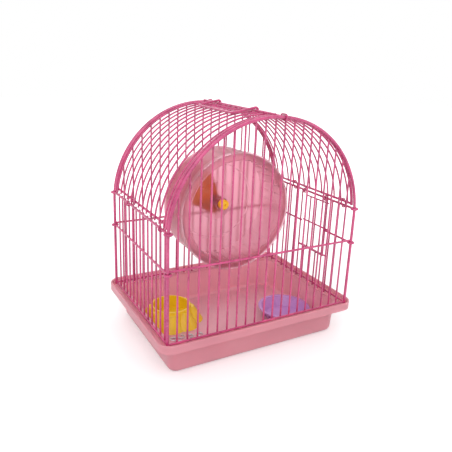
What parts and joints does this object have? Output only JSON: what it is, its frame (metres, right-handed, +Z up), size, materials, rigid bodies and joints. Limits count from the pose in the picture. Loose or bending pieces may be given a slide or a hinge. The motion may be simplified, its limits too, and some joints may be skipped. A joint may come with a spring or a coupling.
{
  "type": "hamster cage",
  "caption": "Small dome-top wire hamster cage on a moulded tray, with a drum wheel on a wall bracket, a side door, a folding carry handle, a lobed food bowl and a fluted dish.",
  "frame": {"origin": "middle of the tray's underside", "axes": "+X to the right as seen from the arched front, where the side door is; -Y out of the front; +Z up; the vault and the wheel's axle run along Y"},
  "size_m": [0.23, 0.17, 0.2515],
  "materials": {
    "painted_wire": "glossy pink paint over steel wire",
    "tray_plastic": "pink moulded plastic, satin gloss",
    "wheel_plastic": "translucent pink moulded plastic",
    "bracket_plastic": "yellow moulded plastic",
    "bowl_plastic": "bright yellow moulded plastic",
    "dish_plastic": "lilac moulded plastic",
    "bare_steel": "bright plated steel wire"
  },
  "bodies": {
    "tray": {"tray": "tray_plastic", "spare_clips": "bare_steel"},
    "cage": {"front_panel": "painted_wire", "back_panel": "painted_wire", "left_panel": "painted_wire", "right_panel": "painted_wire", "roof_panel": "painted_wire", "ridge_clips": "painted_wire", "rail_clips": "painted_wire", "wheel_axle": "bare_steel", "hub_cap": "bracket_plastic", "wheel_bracket": "bracket_plastic", "bracket_clamp": "bracket_plastic", "clamp_screws": "bare_steel"},
    "door": {"side_door": "painted_wire"},
    "handle": {"carry_handle": "painted_wire"},
    "wheel": {"wheel_drum": "wheel_plastic", "wheel_front_ring": "wheel_plastic"},
    "food_bowl": {"food_bowl": "bowl_plastic"},
    "dish": {"water_dish": "dish_plastic"}
  },
  "joints": [
    {"name": "cage_lift", "type": "slide", "parent": "tray", "child": "cage", "axis": [0, 0, 1], "range_m": [0, 0.1]},
    {"name": "door_hinge", "type": "hinge", "parent": "cage", "child": "door", "pos_m": [0.1067, -0.011, 0.14665], "axis": [0, -1, 0], "range_deg": [0, 110]},
    {"name": "handle_hinge", "type": "hinge", "parent": "cage", "child": "handle", "pos_m": [0, 0, 0.24745], "axis": [0, 1, 0], "range_deg": [0, 190]},
    {"name": "wheel_spin", "type": "hinge", "parent": "cage", "child": "wheel", "pos_m": [0.007, 0.02455, 0.13265], "axis": [0, 1, 0], "continuous": true},
    {"name": "food_bowl_lift", "type": "slide", "parent": "tray", "child": "food_bowl", "axis": [0, 0, 1], "range_m": [0, 0.03]},
    {"name": "dish_lift", "type": "slide", "parent": "tray", "child": "dish", "axis": [0, 0, 1], "range_m": [0, 0.03]}
  ]
}
